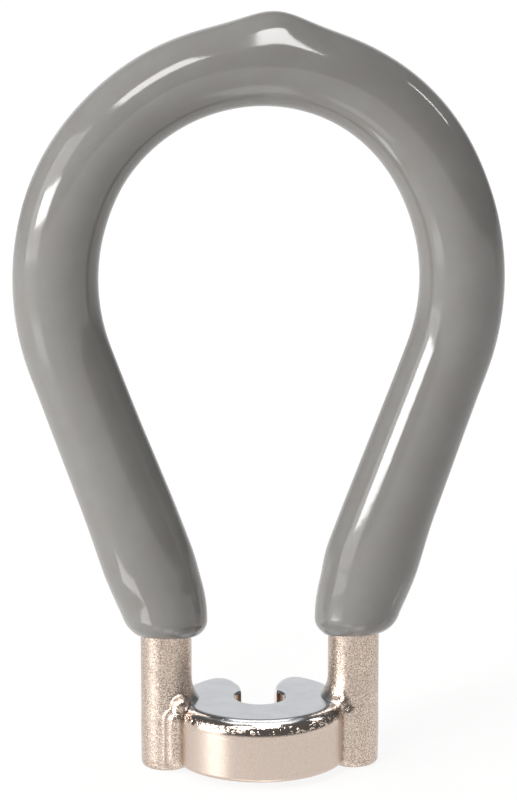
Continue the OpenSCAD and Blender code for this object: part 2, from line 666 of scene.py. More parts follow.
@dataclass(frozen=True)
class Plating:
    """Satin nickel plating.

    Attributes:
        SPREAD: share by which the roughness varies from patch to patch
        name: name of the material
        colour: mean colour
        dark: colour in the hollows of the grain
        roughness: mean roughness
        pebbles: pebbles per metre
        depth: height of the pebbles
    """

    SPREAD: ClassVar[float] = 0.15

    name: str
    colour: Colour
    dark: Colour
    roughness: float
    pebbles: float
    depth: float

    def tint(self, g: Graph, place: Socket, tone: Socket) -> Socket:
        """Colour of the plating.

        Args:
            g: the material's graph
            place: object coordinates, not used by the plain plating
            tone: the grain's tone, 0 in its hollows

        Returns:
            The colour's socket.
        """
        return g.mix(tone, self.dark, self.colour)

    def sheen(self, g: Graph, place: Socket, polish: Socket) -> Socket:
        """Roughness of the plating.

        Args:
            g: the material's graph
            place: object coordinates, not used by the plain plating
            polish: the grain's patches

        Returns:
            The roughness's socket.
        """
        smooth, rough = self.roughness * (1 - self.SPREAD), self.roughness * (1 + self.SPREAD)
        return g.span(polish, *PATCH_RANGE, smooth, rough)

    def relief(self, g: Graph, place: Socket, grain: Socket) -> Socket:
        """Height of the plating's surface in shares of its depth.

        Args:
            g: the material's graph, not used by the plain plating
            place: object coordinates, not used by the plain plating
            grain: the grain's height

        Returns:
            The height's socket.
        """
        return grain

    def material(self) -> bpy.types.Material:
        """Builds the material.

        Returns:
            The new material.
        """
        made = bpy.data.materials.new(self.name)
        made.use_nodes = True
        g = Graph(made.node_tree)
        place = g.add("ShaderNodeTexCoord").outputs["Object"]
        grain = g.add("ShaderNodeGroup")
        grain.node_tree = GrainGroup.tree()
        grain.inputs["Pebbles"].default_value = self.pebbles
        g.link(place, grain.inputs["Vector"])
        shader = g.add("ShaderNodeBsdfPrincipled")
        shader.inputs["Metallic"].default_value = 1.0
        g.link(self.tint(g, place, grain.outputs["Tone"]), shader.inputs["Base Color"])
        g.link(self.sheen(g, place, grain.outputs["Polish"]), shader.inputs["Roughness"])
        height = self.relief(g, place, grain.outputs["Height"])
        g.link(g.bump(height, self.depth), shader.inputs["Normal"])
        out = g.add("ShaderNodeOutputMaterial")
        g.link(shader.outputs["BSDF"], out.inputs["Surface"])
        return made


@dataclass(frozen=True)
class HeadPlating(Plating):
    """Plating of the head, with a smoother rolled rim and a cool top, part finish and part painted
    reflection.

    The pairs in capitals, apart from PIT_RANGE, are depths between which something changes, in shares of
    the rim's height. They are taken below the top, and those of PIT_RING inwards from the wall.

    Attributes:
        PIT_FOOT: where the pits start
        PIT_TOP: where the pits end
        PIT_RING: where the pits start, seen from above
        FACE_FADE: where the colour passes into that of the ground top, with its painted reflection
        WALL_FADE: where the wall's roughness passes into that of the rim
        EDGE_FADE: where the rim's roughness passes into that of the ground top
        PIT_RANGE: values of the pits' noise between which a pit's wall lies
        PIT_DETAIL: finer octaves of the pits
        MOTTLE_DETAIL: finer octaves of the ground top's patches
        top: height of the ground top
        rim_h: height of the rolled rim under it
        radius: radius of the head
        face: colour of the ground top, partly its finish and partly a painted reflection of cool grey
            surroundings
        face_dark: colour of its darker patches
        mottle: darker patches per metre
        rim_roughness: roughness of the rim
        face_roughness: roughness of the ground top
        pits: pits per metre on the rim
        pit_depth: depth of those pits
    """

    PIT_FOOT: ClassVar[tuple[float, float]] = (0.70, 0.56)
    PIT_TOP: ClassVar[tuple[float, float]] = (0.42, 0.30)
    PIT_RING: ClassVar[tuple[float, float]] = (0.6, 0.5)
    FACE_FADE: ClassVar[tuple[float, float]] = (0.35, 0.06)
    WALL_FADE: ClassVar[tuple[float, float]] = (1.1, 0.7)
    EDGE_FADE: ClassVar[tuple[float, float]] = (0.04, 0.0)
    PIT_RANGE: ClassVar[tuple[float, float]] = (0.48, 0.68)
    PIT_DETAIL: ClassVar[float] = 1.0
    MOTTLE_DETAIL: ClassVar[float] = 3.0

    top: float
    rim_h: float
    radius: float
    # The top's cool colour is partly its finish and partly a painted reflection of cool grey surroundings
    face: Colour = (0.585, 0.60, 0.62)
    face_dark: Colour = (0.535, 0.55, 0.58)
    mottle: float = 520.0
    rim_roughness: float = 0.12
    face_roughness: float = 0.22
    pits: float = 2600.0
    pit_depth: float = 0.045 * MM

    def by_height(
        self, g: Graph, place: Socket, fade: tuple[float, float], first: float = 0.0, last: float = 1.0
    ) -> Socket:
        """Value that changes with height near the top.

        Args:
            g: the material's graph
            place: object coordinates
            fade: depths below the top, in shares of the rim's height, between which it changes
            first: value below the change
            last: value above the change

        Returns:
            The value's socket.
        """
        low, high = (self.top - share * self.rim_h for share in fade)
        return g.span(g.split(place).outputs["Z"], low, high, first, last)

    def relief(self, g: Graph, place: Socket, grain: Socket) -> Socket:
        """Adds the pits in the middle of the rolled rim, which the machining left rough.

        Args:
            g: the material's graph
            place: object coordinates
            grain: the grain's height

        Returns:
            The height's socket.
        """
        above = self.by_height(g, place, self.PIT_FOOT)
        below = self.by_height(g, place, self.PIT_TOP, 1.0, 0.0)
        inner, outer = (self.radius - share * self.rim_h for share in self.PIT_RING)
        ring = g.span(g.off_axis(place), inner, outer)
        pits = g.span(g.noise(place, self.pits, self.PIT_DETAIL), *self.PIT_RANGE)
        rough = g.math("MULTIPLY", g.math("MULTIPLY", above, below), g.math("MULTIPLY", ring, pits))
        return g.math("ADD", grain, g.math("MULTIPLY", rough, self.pit_depth / self.depth))

    def tint(self, g: Graph, place: Socket, tone: Socket) -> Socket:
        """Colour of the wall, passing over the upper rim into the top's colour, which holds a painted
        reflection.

        Args:
            g: the material's graph
            place: object coordinates
            tone: the grain's tone, 0 in its hollows

        Returns:
            The colour's socket.
        """
        upper = self.by_height(g, place, self.FACE_FADE)
        patches = g.span(g.noise(place, self.mottle, self.MOTTLE_DETAIL), *PATCH_RANGE)
        # The top's colour, partly its finish and partly a painted reflection of cool grey surroundings, in
        # random patches
        face = g.mix(patches, self.face_dark, self.face)
        return g.mix(upper, super().tint(g, place, tone), face)

    def sheen(self, g: Graph, place: Socket, polish: Socket) -> Socket:
        """Roughness of the wall, the rim and the ground top, by height.

        Args:
            g: the material's graph
            place: object coordinates
            polish: the grain's patches, which the machined head doesn't show

        Returns:
            The roughness's socket.
        """
        low = self.by_height(g, place, self.WALL_FADE, self.roughness, self.rim_roughness)
        rise = self.by_height(g, place, self.EDGE_FADE, 0.0, self.face_roughness - self.rim_roughness)
        return g.math("ADD", low, rise)


@dataclass(frozen=True)
class BrazePlating(Plating):
    """Plating of the braze, which takes the head top's cool tone, partly painted reflection, where it thins
    over it.

    Attributes:
        top: height of the head's top
        reach: distance from the head's axis within which it lies on the top
        edge: distance over which the cool tone fades beyond that
        climb: height over which the cool tone fades
        face: colour of the ground top, partly its finish and partly a painted reflection
    """

    top: float
    reach: float
    edge: float = 0.6 * MM
    climb: float = 1.1 * MM
    # The head top's colour: partly its finish, partly a painted reflection of cool grey surroundings
    face: Colour = (0.56, 0.575, 0.59)

    def on_top(self, g: Graph, place: Socket) -> Socket:
        """Share of the cool tone, 1 where the braze thins out over the head's top.

        Args:
            g: the material's graph
            place: object coordinates

        Returns:
            The share's socket.
        """
        inside = g.span(g.off_axis(place), self.reach, self.reach + self.edge, 1.0, 0.0)
        low = g.span(g.split(place).outputs["Z"], self.top, self.top + self.climb, 1.0, 0.0)
        return g.math("MULTIPLY", inside, low)

    def tint(self, g: Graph, place: Socket, tone: Socket) -> Socket:
        """Colour of the braze, passing into the head top's colour and its painted reflection."""
        # Painted reflection: the head top's cool tone laid over the braze where it thins out over the top
        return g.mix(self.on_top(g, place), super().tint(g, place, tone), self.face)

    def relief(self, g: Graph, place: Socket, grain: Socket) -> Socket:
        """Height of the grain, which fades out towards the head's top."""
        return g.math("MULTIPLY", grain, g.math("SUBTRACT", 1.0, self.on_top(g, place)))


@dataclass(frozen=True)
class Vinyl:
    """Glossy dipped vinyl with faint mottling.

    Attributes:
        PATCH_DETAIL: finer octaves of the patches
        PEEL_DETAIL: finer octaves of the waves
        name: name of the material
        colour: mean colour
        warm: colour of the warmer patches
        roughness: roughness of the gloss
        patches: patches per metre
        peel: waves of the skin per metre
        peel_depth: height of those waves
    """

    PATCH_DETAIL: ClassVar[float] = 4.0
    PEEL_DETAIL: ClassVar[float] = 2.0

    name: str
    colour: Colour
    warm: Colour
    roughness: float
    patches: float = 380.0
    peel: float = 900.0
    peel_depth: float = 0.006 * MM

    def material(self) -> bpy.types.Material:
        """Builds the material.

        Returns:
            The new material.
        """
        made = bpy.data.materials.new(self.name)
        made.use_nodes = True
        g = Graph(made.node_tree)
        place = g.add("ShaderNodeTexCoord").outputs["Object"]
        patches = g.span(g.noise(place, self.patches, self.PATCH_DETAIL), *PATCH_RANGE)
        shader = g.add("ShaderNodeBsdfPrincipled")
        g.link(g.mix(patches, self.colour, self.warm), shader.inputs["Base Color"])
        shader.inputs["Roughness"].default_value = self.roughness
        waves = g.noise(place, self.peel, self.PEEL_DETAIL)
        g.link(g.bump(waves, self.peel_depth), shader.inputs["Normal"])
        out = g.add("ShaderNodeOutputMaterial")
        g.link(shader.outputs["BSDF"], out.inputs["Surface"])
        return made


@dataclass(frozen=True)
class HandleWire:
    """The bent rod, with its two cut ends rounded.

    Attributes:
        loop: the rod's line
        sides: vertices round the rod
        end_r: rounding of the cut ends
        round_steps: rings of that rounding
        pitch: distance between rings
    """

    loop: Loop
    sides: int = 64
    end_r: float = 0.5 * MM
    round_steps: int = 6
    pitch: float = 0.6 * MM

    def build(self) -> Piece:
        """Sweeps the rod from a leg's foot to the crown, and mirrors it.

        Returns:
            The rod.
        """
        loop = self.loop
        bar = Sweep(Vector((loop.leg_x, 0, 0)), loop.rod_r - self.end_r, self.sides, capped=True)
        bar.round_out(self.end_r, loop.rod_r, self.round_steps)
        leg = Stretch(loop.leg_top - self.end_r)
        for part in [leg, *loop.stretches()]:
            steps = math.ceil(part.length / self.pitch)
            for _ in range(steps):
                bar.follow(part, steps, loop.rod_r)
        mirror_right_half(bar.mesh)
        return finish_mesh(bar.mesh, "bent_rod")

    def dress(self, piece: Piece, finish: Plating) -> None:
        """Gives the rod its plating and seats it."""
        seat(piece, "handle_wire", finish.material())


@dataclass(frozen=True)
class VinylSleeve:
    """The dipped sleeve: a tube over the loop with rounded ends and a drip that set on the crown.

    Attributes:
        loop: the rod's line
        girth: outer radii at distances above the sleeve's lower end
        end_r: rounding of the two ends
        round_steps: rings of that rounding
        bore_press: how far the bore lies inside the rod's surface
        dip_slope: slope of the dip line, which stands higher in front
        splay: slope by which the outer halves of the ends stand higher
        dip_fade: heights above the lower end over which those slopes fade out
        left_foot_shift: how far the coat of the left foot stands off outwards
        right_foot_shift: how far the coat of the right foot stands off outwards
        foot_fade: heights above the bends' foot over which those shifts fade out
        foot_coat: distance off the rod from which the coat takes the whole shift
        left_shift: how far the coat of the left side hangs outwards
        left_fade: heights above the bends' foot over which that shift sets in
        crown_shift: how far the coat of the crown hangs to the right
        crown_lift: how far it hangs upwards, in shares of crown_shift
        crown_fade: heights above the side arcs' centres over which those shifts set in
        drip_h: height of the drip above the sleeve
        drip_left: half breadth of the drip to the left of its tip
        drip_right: half breadth of the drip to the right of its tip
        drip_shift: distance of the drip's tip to the right of the crown's middle
        sides: vertices round the sleeve
        pitch: distance between rings of the outer wall
        bore_pitch: distance between rings of the bore
    """

    loop: Loop
    girth: tuple[tuple[float, float], ...] = (
        (1.7 * MM, 4.06 * MM),
        (8.0 * MM, 4.20 * MM),
        (27.8 * MM, 3.93 * MM),
        (40.0 * MM, 3.90 * MM),
        (58.0 * MM, 3.79 * MM),
    )
    end_r: float = 1.65 * MM
    round_steps: int = 16
    bore_press: float = 0.05 * MM
    dip_slope: float = 0.2
    splay: float = 0.05
    dip_fade: Fade = Fade(1.0 * MM, 6.0 * MM)
    left_foot_shift: float = 0.20 * MM
    right_foot_shift: float = 0.42 * MM
    foot_fade: Fade = Fade(2.0 * MM, 8.0 * MM)
    foot_coat: float = 1.2 * MM
    left_shift: float = 0.10 * MM
    left_fade: Fade = Fade(10.0 * MM, 10.0 * MM)
    crown_shift: float = 0.3 * MM
    crown_lift: float = 0.3
    crown_fade: Fade = Fade(8.0 * MM, 12.0 * MM)
    drip_h: float = 0.95 * MM
    drip_left: float = 3.4 * MM
    drip_right: float = 3.25 * MM
    drip_shift: float = 1.2 * MM
    sides: int = 96
    pitch: float = 0.4 * MM
    bore_pitch: float = 1.2 * MM

    @property
    def foot_r(self) -> float:
        """Outer radius at the sleeve's lower end."""
        return self.girth[0][1]

    def build(self) -> Piece:
        """Sweeps the bore down from the crown and the outer wall back up, and mirrors and shapes both.

        Returns:
            The sleeve.
        """
        loop = self.loop
        parts = loop.stretches()
        bore = loop.rod_r - self.bore_press
        crown = Vector((0, 0, loop.crown_z + loop.crown_r))
        tube = Sweep(crown, bore, self.sides, capped=False, lean=-math.pi / 2)
        for part in reversed(parts):
            steps = math.ceil(part.length / self.bore_pitch)
            for _ in range(steps):
                tube.follow(part, -steps, bore)
        tube.step(-loop.cuff_h, bore)
        tube.step(0.0, self.foot_r - self.end_r)
        tube.round_out(self.end_r, self.foot_r, self.round_steps)
        tube.step(loop.cuff_h - self.end_r, self.foot_r)
        travel = loop.cuff_h
        for part in parts:
            steps = math.ceil(part.length / self.pitch)
            for _ in range(steps):
                travel += part.length / steps
                tube.follow(part, steps, along_points(self.girth, travel))
        mirror_right_half(tube.mesh)
        self.raise_drip(tube.mesh)
        self.lean_feet(tube.mesh)
        self.slope_ends(tube.mesh)
        self.shift_coat(tube.mesh)
        return finish_mesh(tube.mesh, "dipped_sleeve")

    def raise_drip(self, mesh: Mesh) -> None:
        """Draws the outer wall of the crown up to the drip's tip.

        Args:
            mesh: the mirrored sleeve
        """
        loop = self.loop
        crown_bar = self.girth[-1][1]
        wall = (loop.rod_r + crown_bar) / 2
        for vert in mesh.verts:
            across = math.hypot(vert.co.x, vert.co.z - loop.crown_z) - loop.crown_r
            if math.hypot(across, vert.co.y) < wall or vert.co.z < loop.crown_z:
                continue
            turn = math.atan2(vert.co.x, vert.co.z - loop.crown_z)
            along = turn * (loop.crown_r + crown_bar) - self.drip_shift
            along /= self.drip_left if along < 0 else self.drip_right
            round_bar = math.atan2(vert.co.y, across)
            vert.co.z += self.drip_h * math.exp(-along * along) * max(math.cos(round_bar), 0.0) ** 2

    def lean_feet(self, mesh: Mesh) -> None:
        """Carries the lean of the limbs' outer sides on to the ends, where the coat hides the rod's bend.

        Args:
            mesh: the mirrored sleeve
        """
        loop = self.loop
        reach = (loop.bend_r - self.foot_r) * math.sin(loop.lean)
        for vert in mesh.verts:
            below = loop.leg_top + reach - vert.co.z
            outer = abs(vert.co.x) - loop.leg_x
            if below <= 0 or outer <= 0:
                continue
            off_axis = math.hypot(outer, vert.co.y)
            drop = below**2 / (2 * reach) if below < reach else below - reach / 2
            coat = min(max((off_axis - loop.rod_r) / (self.foot_r - loop.rod_r), 0.0), 1.0)
            inwards = math.tan(loop.lean) * drop * coat * outer / off_axis
            vert.co.x -= math.copysign(inwards, vert.co.x)

    def slope_ends(self, mesh: Mesh) -> None:
        """Tilts the two ends to the slope of the dip line.

        Args:
            mesh: the mirrored sleeve
        """
        for vert in mesh.verts:
            tilt = 1 - self.dip_fade.at(vert.co.z - self.loop.sleeve_foot)
            outer = max(abs(vert.co.x) - self.loop.leg_x, 0.0)
            vert.co.z += (self.splay * outer - self.dip_slope * vert.co.y) * tilt

    def shift_coat(self, mesh: Mesh) -> None:
        """Moves the coat outwards at the feet and on the left side, and to the right at the crown.

        Args:
            mesh: the mirrored sleeve
        """
        loop = self.loop
        for vert in mesh.verts:
            height = vert.co.z
            foot_shift = self.right_foot_shift if vert.co.x > 0 else self.left_foot_shift
            low = 1 - self.foot_fade.at(height - loop.leg_top)
            off_rod = math.hypot(abs(vert.co.x) - loop.leg_x, vert.co.y) - loop.rod_r
            coat = eased(off_rod / self.foot_coat)
            vert.co.x += math.copysign(foot_shift * low * coat, vert.co.x)
            high = self.crown_fade.at(height - loop.side_z)
            vert.co.x += self.crown_shift * high
            vert.co.z += self.crown_lift * self.crown_shift * high
            middle = self.left_fade.at(height - loop.leg_top) * (1 - high)
            on_left = eased(0.5 - vert.co.x / loop.leg_x)
            vert.co.x -= self.left_shift * middle * on_left

    def dress(self, piece: Piece, finish: Vinyl) -> None:
        """Gives the sleeve its vinyl and seats it."""
        seat(piece, "vinyl_sleeve", finish.material())


@dataclass(frozen=True)
class WallRing:
    """One ring of the head's wall.

    Attributes:
        angle: place on the rolled edge, 0 at the upright wall and a quarter turn at the level face
        is_low: whether it belongs to the lower edge
        inset: further distance inwards over the level face
    """

    angle: float
    is_low: bool
    inset: float = 0.0


@dataclass(frozen=True)
class WrenchHead:
    """The slotted head: a thick disc with a keyhole jaw, a rolled rim and rounded lips.

    Attributes:
        radius: radius of the disc
        foot: height of the underside
        top: height of the flat top
        slot_half: half of the slot's width
        relief_r: radius of the round relief at the root of the slot
        lip_r: rounding of the lips at the mouth, seen from above
        corner_r: rounding of the corners between the slot and the relief, seen from above
        rim_r: width of the rolled upper rim, which runs on over the lips
        rim_h: height of that rim
        roll_from: share of a slot wall at which the rim's roll starts to grow towards the lip
        roll_to: share of a lip's rounding at which the roll is full
        jaw_edge: break of the edges round the relief and the slot's root
        foot_edge: radius of the lower rim
        level: width of the level ring inside each rolled edge
        roll_steps: edges across the rolled rim, an even number
        arc_steps: edges from the front of the rim to a lip, and from the relief's front to the lip
        lip_steps: edges round a lip, an odd number
        wall_steps: edges along a slot wall
        corner_steps: edges round a corner at the relief
        flat_weight: how far the large flat faces lead the shading of their edges, 100 at most
    """

    radius: float
    foot: float
    top: float
    slot_half: float = 1.65 * MM
    relief_r: float = 2.35 * MM
    lip_r: float = 2.0 * MM
    corner_r: float = 0.35 * MM
    rim_r: float = 1.25 * MM
    rim_h: float = 1.7 * MM
    roll_from: float = 0.25
    roll_to: float = 0.5
    jaw_edge: float = 0.2 * MM
    foot_edge: float = 0.4 * MM
    level: float = 0.08 * MM
    roll_steps: int = 10
    arc_steps: int = 96
    lip_steps: int = 33
    wall_steps: int = 24
    corner_steps: int = 8
    flat_weight: int = 100

    @classmethod
    def from_frame(cls) -> "WrenchHead":
        """Reads the head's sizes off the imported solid."""
        lo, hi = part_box("wrench_head")
        return cls(radius=-lo.y, foot=lo.z, top=hi.z)

    @property
    def lip_x(self) -> float:
        """X of a lip's centre."""
        return self.slot_half + self.lip_r

    @property
    def lip_y(self) -> float:
        """Y of a lip's centre, from which the lip meets both the rim and the slot smoothly."""
        return math.sqrt((self.radius - self.lip_r) ** 2 - self.lip_x**2)

    @property
    def corner_x(self) -> float:
        """X of the centre of a corner's rounding."""
        return self.slot_half + self.corner_r

    @property
    def corner_y(self) -> float:
        """Y of the centre of a corner's rounding, which meets both the slot and the relief smoothly."""
        return math.sqrt((self.relief_r + self.corner_r) ** 2 - self.corner_x**2)

    def outline(self, mesh: Mesh) -> list[Vert]:
        """Draws the head's closed outline seen from above, from the front to the right and round the jaw.

        Args:
            mesh: the empty mesh to draw in

        Returns:
            The outline's vertices in order.
        """
        to_lip = math.atan2(self.lip_y, self.lip_x)
        to_corner = math.atan2(self.corner_y, self.corner_x)
        rim_turn = (math.pi / 2 + to_lip) / self.arc_steps
        lip_turn = (math.pi - to_lip) / self.lip_steps
        corner_turn = to_corner / self.corner_steps
        relief_steps = 2 * (self.arc_steps - self.wall_steps - self.corner_steps)
        relief_turn = (-math.pi - 2 * to_corner) / relief_steps
        wall = Vector((0, (self.lip_y - self.corner_y) / self.wall_steps, 0))
        middle = Vector((0, 0, 0))
        left_lip, right_lip = (Vector((side.value * self.lip_x, self.lip_y, 0)) for side in Side)
        left_corner, right_corner = (
            Vector((side.value * self.corner_x, self.corner_y, 0)) for side in Side
        )
        pen = Pen(mesh, Vector((0, -self.radius, 0)))
        pen.turn(middle, UP, rim_turn, self.arc_steps)
        pen.turn(right_lip, UP, lip_turn, self.lip_steps)
        pen.move(-wall, self.wall_steps)
        pen.turn(right_corner, UP, corner_turn, self.corner_steps)
        pen.turn(middle, UP, relief_turn, relief_steps)
        pen.turn(left_corner, UP, corner_turn, self.corner_steps)
        pen.move(wall, self.wall_steps)
        pen.turn(left_lip, UP, lip_turn, self.lip_steps)
        pen.turn(middle, UP, rim_turn, self.arc_steps - 1)
        pen.close()
        return pen.verts

    def rings(self) -> list[WallRing]:
        """Lists the rings of the wall.

        Returns:
            The rings, from the level foot over both rolled edges to the level top.
        """
        quarter = [k / self.roll_steps * math.pi / 2 for k in range(self.roll_steps + 1)]
        low = [WallRing(angle, True) for angle in reversed(quarter[::2])]
        high = [WallRing(angle, False) for angle in quarter]
        foot, top = (WallRing(math.pi / 2, is_low, self.level) for is_low in (True, False))
        return [foot, *low, *high, top]

    def roll_at(self, place: Vector, outer: float) -> float:
        """Radius of the rolled edge at a place on the outline, which fades from the lips into the slot.

        Args:
            place: the place, seen from above
            outer: radius of the roll on the round rim

        Returns:
            The roll's radius there.
        """
        if place.length > self.radius - WELD / 2:
            return outer
        fade_from = self.corner_y + self.roll_from * (self.lip_y - self.corner_y)
        fade_to = self.lip_y + self.roll_to * self.lip_r
        share = eased((place.y - fade_from) / (fade_to - fade_from))
        return self.jaw_edge + (outer - self.jaw_edge) * share

    def wall_at(self, ring: WallRing, place: Vector, inward: Vector) -> Vector:
        """Finds where a point of the outline lies on a ring of the wall.

        Args:
            ring: the ring
            place: the point, seen from above
            inward: the way from there into the head

        Returns:
            The place on the ring.
        """
        edge, tall = (self.foot_edge, 1.0) if ring.is_low else (self.rim_r, self.rim_h / self.rim_r)
        roll = self.roll_at(place, edge)
        rise = roll * tall * (1 - math.sin(ring.angle))
        spot = place + inward * (ring.inset + roll * (1 - math.cos(ring.angle)))
        spot.z = self.foot + rise if ring.is_low else self.top - rise
        return spot

    def build(self) -> Piece:
        """Raises the outline ring by ring, from the rolled foot to the rolled rim, and closes both ends.

        Returns:
            The head.
        """
        mesh = bmesh.new()
        index = mesh.verts.layers.int.new("place")
        verts = self.outline(mesh)
        count = len(verts)
        places = [v.co.copy() for v in verts]
        inward = []
        for i, vert in enumerate(verts):
            vert[index] = i
            along = places[(i + 1) % count] - places[i - 1]
            inward.append(Vector((-along.y, along.x, 0)).normalized())
        edges = mesh.edges[:]
        loops = []
        for ring in self.rings():
            if loops:
                made = bmesh.ops.extrude_edge_only(mesh, edges=edges)["geom"]
                verts = [g for g in made if isinstance(g, Vert)]
                edges = [g for g in made if isinstance(g, Edge)]
            for vert in verts:
                vert.co = self.wall_at(ring, places[vert[index]], inward[vert[index]])
            loops.append(edges)
        # The edges at the two lips' tips part an outline into the rim and the jaw, which are bridged
        half_lip = self.lip_steps // 2
        tips = {self.arc_steps + half_lip, count - self.arc_steps - half_lip - 1}
        for edges in (loops[0], loops[-1]):
            open_edges = [e for e in edges if min(v[index] for v in e.verts) not in tips]
            bmesh.ops.bridge_loops(mesh, edges=open_edges)
        bmesh.ops.recalc_face_normals(mesh, faces=mesh.faces)
        piece = finish_mesh(mesh, "slotted_head")
        soft = piece.modifiers.new("flat_faces", "WEIGHTED_NORMAL")
        soft.weight = self.flat_weight
        soft.keep_sharp = False
        return piece

    def dress(self, piece: Piece, finish: Plating) -> None:
        """Gives the head its plating and seats it."""
        seat(piece, "wrench_head", finish.material())


@dataclass(frozen=True)
class BrazeJoint:
    """Braze metal between a leg and the head: it wets the leg, fills both valleys and runs up in a fillet.

    Attributes:
        side: the leg that it holds
        loop: the rod's line
        head: the head
        bead_r: radius of the beads in the valleys
        bead_foot: height of the beads' lower ends
        bead_gap: how far the beads' upper ends stay below the head's top
        bead_out: how far a bead's axis stands out of its valley, in bead radii
        blob_shift: how far the blob on top of a bead sits towards the head
        blob_out: how far a blob's axis stands out of its valley, in bead radii
        blob_r: radius of a blob, and its height over the head's top, in bead radii
        blob_drop: how far a blob reaches down below the head's top, in bead radii
        fillet_w: reach of the fillet over the head's top
        fillet_h: height to which the fillet climbs the leg
        fillet_root: depth of the fillet's section inside the leg
        fillet_sink: depth of the fillet's section inside the head
        wetting: most that the metal stands off the leg beside a bead
        skin_off: share of the wetting by which the metal's axis lies off the leg's
        skin_foot: height of the lower end of the metal that wets the leg
        skin_climb: height of its upper end over the head's top, in fillet heights
        skin_half: half height of the long ball that gives its form, in heights of the head's top
        skin_middle: height of that ball's middle, in heights of the head's top
        run_sides: vertices round a bead or blob
        run_rings: rings of its round ends
        skin_sides: vertices round the long ball, and rings along it
        hollow_steps: edges along the fillet's hollow
        fillet_steps: sections round the fillet
        voxel: grain of the melt
        flow_steps: how often the melt is smoothed
        flow_share: how far one smoothing goes
    """

    side: Side
    loop: Loop
    head: WrenchHead
    bead_r: float
    bead_foot: float = 0.25 * MM
    bead_gap: float = 0.2 * MM
    bead_out: float = 0.25
    blob_shift: float = 0.35 * MM
    blob_out: float = 0.1
    blob_r: float = 0.85
    blob_drop: float = 1.8
    fillet_w: float = 0.75 * MM
    fillet_h: float = 2.1 * MM
    fillet_root: float = 0.8 * MM
    fillet_sink: float = 1.0 * MM
    wetting: float = 0.2 * MM
    skin_off: float = 0.6
    skin_foot: float = 0.6 * MM
    skin_climb: float = 1.4
    skin_half: float = 2.2
    skin_middle: float = 0.55
    run_sides: int = 32
    run_rings: int = 24
    skin_sides: int = 96
    hollow_steps: int = 12
    fillet_steps: int = 48
    voxel: float = 0.07 * MM
    flow_steps: int = 90
    flow_share: float = 0.5

    @property
    def valley(self) -> Vector:
        """Point where the head's wall meets the right leg, behind the loop's plane.

        Returns:
            The point, at height 0.
        """
        r, rod, leg = self.head.radius, self.loop.rod_r, self.loop.leg_x
        x = (r * r - rod * rod + leg * leg) / (2 * leg)
        return Vector((x, math.sqrt(r * r - x * x), 0))

    def build(self) -> Piece:
        """Joins the beads, the wetted skin and the fillet into one soft run of metal.

        Returns:
            The braze.
        """
        mesh = bmesh.new()
        leg = Vector((self.loop.leg_x, 0, 0))
        outward = self.valley / self.head.radius + (self.valley - leg) / self.loop.rod_r
        outward.normalize()
        bead = self.valley + outward * self.bead_r * self.bead_out
        blob = self.valley - Vector((self.blob_shift, 0, 0)) + outward * self.bead_r * self.blob_out
        blob_r = self.blob_r * self.bead_r
        skin = leg + (self.valley - leg).normalized() * self.wetting * self.skin_off
        top = self.head.top
        for sign in (-1, 1):
            flip = Matrix.Diagonal((1, sign, 1, 1))
            self.add_run(mesh, flip, bead, self.bead_foot, top - self.bead_gap, self.bead_r)
            self.add_run(mesh, flip, blob, top - self.blob_drop * self.bead_r, top + blob_r, blob_r)
            self.add_skin(mesh, flip, skin)
        self.add_fillet(mesh)
        if self.side is Side.LEFT:
            bmesh.ops.scale(mesh, vec=(-1, 1, 1), verts=mesh.verts)
        bmesh.ops.recalc_face_normals(mesh, faces=mesh.faces)
        piece = finish_mesh(mesh, f"{self.side.name.lower()}_braze_metal")
        melt = piece.modifiers.new("melt", "REMESH")
        melt.mode = "VOXEL"
        melt.voxel_size = self.voxel
        melt.use_smooth_shade = True
        flow = piece.modifiers.new("flow", "SMOOTH")
        flow.factor = self.flow_share
        flow.iterations = self.flow_steps
        return piece

    def add_run(
        self, mesh: Mesh, flip: Matrix, axis: Vector, low: float, high: float, radius: float
    ) -> None:
        """Adds an upright run of metal with round ends.

        Args:
            mesh: the mesh to add it to
            flip: mirror to the front or the back of the leg
            axis: its axis seen from above, behind the right leg
            low: height of its lower end
            high: height of its upper end
            radius: its radius
        """
        for height in (low + radius, high - radius):
            bmesh.ops.create_uvsphere(
                mesh,
                u_segments=self.run_sides,
                v_segments=self.run_rings,
                radius=radius,
                matrix=flip @ Matrix.Translation((axis.x, axis.y, height)),
            )
        bmesh.ops.create_cone(
            mesh,
            cap_ends=True,
            segments=self.run_sides,
            radius1=radius,
            radius2=radius,
            depth=high - low - 2 * radius,
            matrix=flip @ Matrix.Translation((axis.x, axis.y, (low + high) / 2)),
        )

    def add_skin(self, mesh: Mesh, flip: Matrix, axis: Vector) -> None:
        """Adds the metal that wets the leg: a long ball round it that thins out upwards, cut at both ends.

        Args:
            mesh: the mesh to add it to
            flip: mirror to the front or the back of the leg
            axis: its axis seen from above, behind the right leg
        """
        top = self.head.top
        girth = self.loop.rod_r + self.wetting * (1 - self.skin_off)
        size = Matrix.Diagonal((girth, girth, self.skin_half * top, 1))
        middle = Matrix.Translation(axis + UP * self.skin_middle * top)
        verts = bmesh.ops.create_uvsphere(
            mesh,
            u_segments=self.skin_sides,
            v_segments=self.skin_sides,
            radius=1.0,
            matrix=flip @ middle @ size,
        )["verts"]
        for height, way in ((self.skin_foot, 1), (top + self.skin_climb * self.fillet_h, -1)):
            edges = dict.fromkeys(e for v in verts for e in v.link_edges)
            faces = dict.fromkeys(f for v in verts for f in v.link_faces)
            cut = bmesh.ops.bisect_plane(
                mesh,
                geom=[*verts, *edges, *faces],
                plane_co=(0, 0, height),
                plane_no=(0, 0, way),
                clear_inner=True,
            )
            bmesh.ops.edgeloop_fill(mesh, edges=[g for g in cut["geom_cut"] if isinstance(g, Edge)])
            verts = [g for g in cut["geom"] if isinstance(g, Vert) and g.is_valid]

